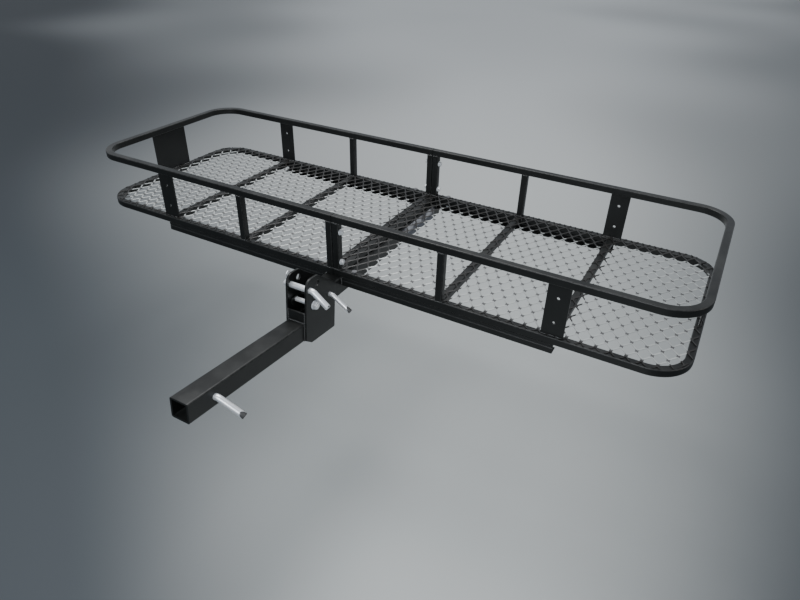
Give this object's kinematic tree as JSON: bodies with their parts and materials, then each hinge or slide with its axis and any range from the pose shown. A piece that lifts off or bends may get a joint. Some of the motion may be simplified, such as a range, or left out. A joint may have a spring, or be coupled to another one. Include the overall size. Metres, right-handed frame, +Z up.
{
  "type": "hitch cargo carrier",
  "caption": "Folding steel cargo basket with guard rails and an expanded-metal floor, hinged between two ears on a square shank that plugs into a hitch receiver.",
  "frame": {"origin": "on the shank's axis at its receiver-pin hole, where a receiver holds the carrier", "axes": "+X to the right along the basket, +Y to the rear away from the vehicle, +Z up with the basket level"},
  "size_m": [1.776, 1.1389, 0.2974],
  "materials": {
    "black_powder_coat": "semi-gloss black powder coat on welded steel tube and plate",
    "mesh_powder_coat": "black powder coat on expanded sheet steel",
    "bright_zinc": "bright zinc plating",
    "plain_silver_tag": "plain satin silver foil, blank"
  },
  "bodies": {
    "hitch_mount": {"shank_tube": "black_powder_coat", "hinge_ear_left": "black_powder_coat", "hinge_ear_right": "black_powder_coat", "ear_gusset": "black_powder_coat", "pivot_bolt": "bright_zinc", "pivot_nut": "bright_zinc"},
    "carrier": {"main_beam": "black_powder_coat", "beam_side_tag": "plain_silver_tag", "top_rail_left": "black_powder_coat", "bottom_rail_left": "black_powder_coat", "cross_bar_inner_left": "black_powder_coat", "cross_bar_middle_left": "black_powder_coat", "cross_bar_outer_left": "black_powder_coat", "plate_post_front_left": "black_powder_coat", "narrow_post_front_left": "black_powder_coat", "centre_post_front_left": "black_powder_coat", "plate_post_rear_left": "black_powder_coat", "narrow_post_rear_left": "black_powder_coat", "centre_post_rear_left": "black_powder_coat", "end_plate_left": "black_powder_coat", "floor_mesh_left": "mesh_powder_coat", "support_rail_front_left": "black_powder_coat", "clamp_bolt_front_left": "bright_zinc", "clamp_nut_front_left": "bright_zinc", "support_rail_rear_left": "black_powder_coat", "clamp_bolt_rear_left": "bright_zinc", "clamp_nut_rear_left": "bright_zinc", "top_rail_right": "black_powder_coat", "bottom_rail_right": "black_powder_coat", "cross_bar_inner_right": "black_powder_coat", "cross_bar_middle_right": "black_powder_coat", "cross_bar_outer_right": "black_powder_coat", "plate_post_front_right": "black_powder_coat", "narrow_post_front_right": "black_powder_coat", "centre_post_front_right": "black_powder_coat", "plate_post_rear_right": "black_powder_coat", "narrow_post_rear_right": "black_powder_coat", "centre_post_rear_right": "black_powder_coat", "end_plate_right": "black_powder_coat", "floor_mesh_right": "mesh_powder_coat", "support_rail_front_right": "black_powder_coat", "clamp_bolt_front_right": "bright_zinc", "clamp_nut_front_right": "bright_zinc", "support_rail_rear_right": "black_powder_coat", "clamp_bolt_rear_right": "bright_zinc", "clamp_nut_rear_right": "bright_zinc", "join_bolt_front_lower": "bright_zinc", "join_nut_front_lower": "bright_zinc", "join_bolt_front_upper": "bright_zinc", "join_nut_front_upper": "bright_zinc", "join_bolt_rear_lower": "bright_zinc", "join_nut_rear_lower": "bright_zinc", "join_bolt_rear_upper": "bright_zinc", "join_nut_rear_upper": "bright_zinc"},
    "upper_pin": {"upper_pull_pin": "bright_zinc"},
    "upper_pin_clip": {"upper_pin_clip": "bright_zinc"},
    "rest_pin": {"rest_pull_pin": "bright_zinc"},
    "receiver_pin": {"receiver_pin": "bright_zinc"}
  },
  "joints": [
    {"name": "fold_pivot", "type": "hinge", "parent": "hitch_mount", "child": "carrier", "pos_m": [0, 0.34686, 0.03782], "axis": [1, 0, 0], "range_deg": [0, 82]},
    {"name": "upper_pin_pull", "type": "slide", "parent": "hitch_mount", "child": "upper_pin", "axis": [1, 0, 0], "range_m": [0, 0.0045]},
    {"name": "clip_pull", "type": "slide", "parent": "upper_pin", "child": "upper_pin_clip", "axis": [0, 0.0906, 0.9959], "range_m": [0, 0.03]},
    {"name": "rest_pin_pull", "type": "slide", "parent": "hitch_mount", "child": "rest_pin", "axis": [1, 0, 0], "range_m": [0, 0.08]},
    {"name": "receiver_pin_pull", "type": "slide", "parent": "hitch_mount", "child": "receiver_pin", "axis": [1, 0, 0], "range_m": [0, 0.066]}
  ]
}
